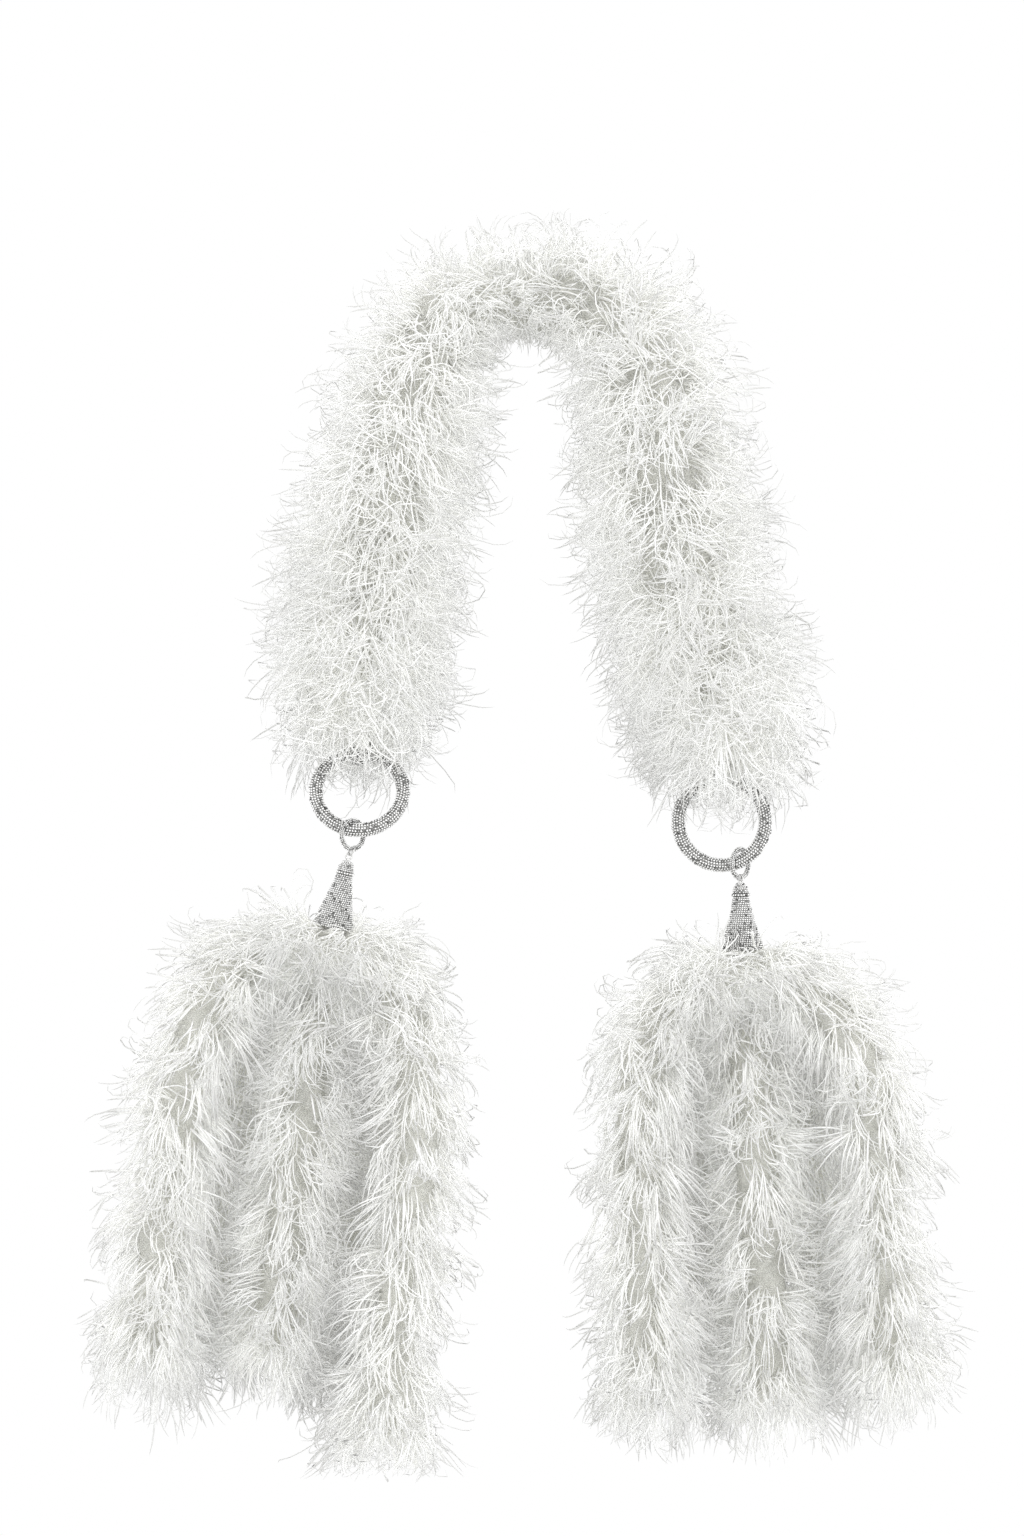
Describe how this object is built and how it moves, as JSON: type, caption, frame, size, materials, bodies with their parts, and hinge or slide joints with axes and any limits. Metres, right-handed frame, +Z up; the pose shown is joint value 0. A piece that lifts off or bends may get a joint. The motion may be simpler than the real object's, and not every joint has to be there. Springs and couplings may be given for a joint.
{
  "type": "feather boa",
  "caption": "Ivory feather boa: a thick arched neck piece, with a crystal-set ring and a feather tassel in a bell cap hung on small links from each end.",
  "frame": {"origin": "where the neck piece rests on the back of the neck, under the top of its arch", "axes": "+X to the right as seen from the front, +Y to the back, +Z up; the boa hangs as it is worn"},
  "size_m": [0.6678, 0.2393, 0.95],
  "materials": {
    "feather": "matte",
    "cord": "matte",
    "pave_silver": "polished",
    "plain_silver": "polished"
  },
  "bodies": {
    "neck": {"neck_core_cord": "cord", "neck_ply_1": "feather", "neck_ply_2": "feather", "neck_ply_3": "feather", "left_end_binding": "cord", "left_end_cap": "plain_silver", "left_end_eye": "plain_silver", "right_end_binding": "cord", "right_end_cap": "plain_silver", "right_end_eye": "plain_silver"},
    "left_upper_link": {"left_upper_link": "pave_silver"},
    "left_ring": {"left_ring": "pave_silver"},
    "left_lower_link": {"left_lower_link": "pave_silver"},
    "left_jump_link": {"left_jump_link": "plain_silver"},
    "left_cap": {"left_eye_pin": "plain_silver", "left_dome": "pave_silver", "left_collar": "pave_silver", "left_bell": "pave_silver", "left_pin_nut": "plain_silver", "left_strand_plate": "plain_silver"},
    "left_strand_1": {"left_strand_cord_1": "cord", "left_strand_feathers_1": "feather"},
    "left_strand_2": {"left_strand_cord_2": "cord", "left_strand_feathers_2": "feather"},
    "left_strand_3": {"left_strand_cord_3": "cord", "left_strand_feathers_3": "feather"},
    "left_strand_4": {"left_strand_cord_4": "cord", "left_strand_feathers_4": "feather"},
    "left_strand_5": {"left_strand_cord_5": "cord", "left_strand_feathers_5": "feather"},
    "right_upper_link": {"right_upper_link": "pave_silver"},
    "right_ring": {"right_ring": "pave_silver"},
    "right_lower_link": {"right_lower_link": "pave_silver"},
    "right_cap": {"right_eye_pin": "plain_silver", "right_dome": "pave_silver", "right_collar": "pave_silver", "right_bell": "pave_silver", "right_pin_nut": "plain_silver", "right_strand_plate": "plain_silver"},
    "right_strand_1": {"right_strand_cord_1": "cord", "right_strand_feathers_1": "feather"},
    "right_strand_2": {"right_strand_cord_2": "cord", "right_strand_feathers_2": "feather"},
    "right_strand_3": {"right_strand_cord_3": "cord", "right_strand_feathers_3": "feather"},
    "right_strand_4": {"right_strand_cord_4": "cord", "right_strand_feathers_4": "feather"},
    "right_strand_5": {"right_strand_cord_5": "cord", "right_strand_feathers_5": "feather"}
  },
  "joints": [
    {"name": "left_upper_link_swing", "type": "hinge", "parent": "neck", "child": "left_upper_link", "pos_m": [-0.129, -0.07, -0.3173], "axis": [-0.682, 0.7314, 0], "range_deg": [-8, 8]},
    {"name": "left_ring_swing", "type": "hinge", "parent": "left_upper_link", "child": "left_ring", "pos_m": [-0.129, -0.07, -0.3287], "axis": [1, 0, 0], "range_deg": [-7, 7]},
    {"name": "left_lower_link_swing", "type": "hinge", "parent": "left_ring", "child": "left_lower_link", "pos_m": [-0.13387, -0.1027, -0.39021], "axis": [0.9903, -0.0653, -0.1229], "range_deg": [-8, 8]},
    {"name": "left_jump_link_swing", "type": "hinge", "parent": "left_lower_link", "child": "left_jump_link", "pos_m": [-0.13387, -0.1027, -0.40571], "axis": [0.7314, 0.682, 0], "range_deg": [-8, 8]},
    {"name": "left_cap_swing", "type": "hinge", "parent": "left_jump_link", "child": "left_cap", "pos_m": [-0.13654, -0.10395, -0.41041], "axis": [-0.4226, 0.9063, 0], "range_deg": [-8, 8]},
    {"name": "left_strand_1_swing", "type": "hinge", "parent": "left_cap", "child": "left_strand_1", "pos_m": [-0.15193, -0.10721, -0.44957], "axis": [-0.4538, 0.8849, 0.1048], "range_deg": [0, 8]},
    {"name": "left_strand_2_swing", "type": "hinge", "parent": "left_cap", "child": "left_strand_2", "pos_m": [-0.13986, -0.10721, -0.45236], "axis": [-0.4538, -0.8849, 0.1048], "range_deg": [0, 8]},
    {"name": "left_strand_3_swing", "type": "hinge", "parent": "left_cap", "child": "left_strand_3", "pos_m": [-0.1459, -0.10395, -0.45097], "axis": [-0.9744, 0, 0.225], "range_deg": [0, 8]},
    {"name": "left_strand_4_swing", "type": "hinge", "parent": "left_cap", "child": "left_strand_4", "pos_m": [-0.1501, -0.09843, -0.44999], "axis": [0.7671, 0.6167, -0.1771], "range_deg": [0, 8]},
    {"name": "left_strand_5_swing", "type": "hinge", "parent": "left_cap", "child": "left_strand_5", "pos_m": [-0.14169, -0.09843, -0.45194], "axis": [0.7671, -0.6167, -0.1771], "range_deg": [0, 8]},
    {"name": "right_upper_link_swing", "type": "hinge", "parent": "neck", "child": "right_upper_link", "pos_m": [0.166, -0.07, -0.3383], "axis": [-0.682, 0.7314, 0], "range_deg": [-8, 8]},
    {"name": "right_ring_swing", "type": "hinge", "parent": "right_upper_link", "child": "right_ring", "pos_m": [0.166, -0.07, -0.3495], "axis": [0.9903, 0, -0.1392], "range_deg": [-7, 7]},
    {"name": "right_lower_link_swing", "type": "hinge", "parent": "right_ring", "child": "right_lower_link", "pos_m": [0.17592, -0.07, -0.41588], "axis": [0.9063, 0, 0.4226], "range_deg": [-8, 8]},
    {"name": "right_cap_swing", "type": "hinge", "parent": "right_lower_link", "child": "right_cap", "pos_m": [0.17592, -0.07, -0.42938], "axis": [0.6157, 0.788, 0], "range_deg": [-8, 8]},
    {"name": "right_strand_1_swing", "type": "hinge", "parent": "right_cap", "child": "right_strand_1", "pos_m": [0.17115, -0.07326, -0.47024], "axis": [-0.4655, 0.8849, -0.0163], "range_deg": [0, 8]},
    {"name": "right_strand_2_swing", "type": "hinge", "parent": "right_cap", "child": "right_strand_2", "pos_m": [0.18353, -0.07326, -0.46981], "axis": [-0.4655, -0.8849, -0.0163], "range_deg": [0, 8]},
    {"name": "right_strand_3_swing", "type": "hinge", "parent": "right_cap", "child": "right_strand_3", "pos_m": [0.17734, -0.07, -0.47003], "axis": [-0.9994, 0, -0.0349], "range_deg": [0, 8]},
    {"name": "right_strand_4_swing", "type": "hinge", "parent": "right_cap", "child": "right_strand_4", "pos_m": [0.17303, -0.06449, -0.47018], "axis": [0.7867, 0.6167, 0.0275], "range_deg": [0, 8]},
    {"name": "right_strand_5_swing", "type": "hinge", "parent": "right_cap", "child": "right_strand_5", "pos_m": [0.18165, -0.06449, -0.46987], "axis": [0.7867, -0.6167, 0.0275], "range_deg": [0, 8]}
  ]
}
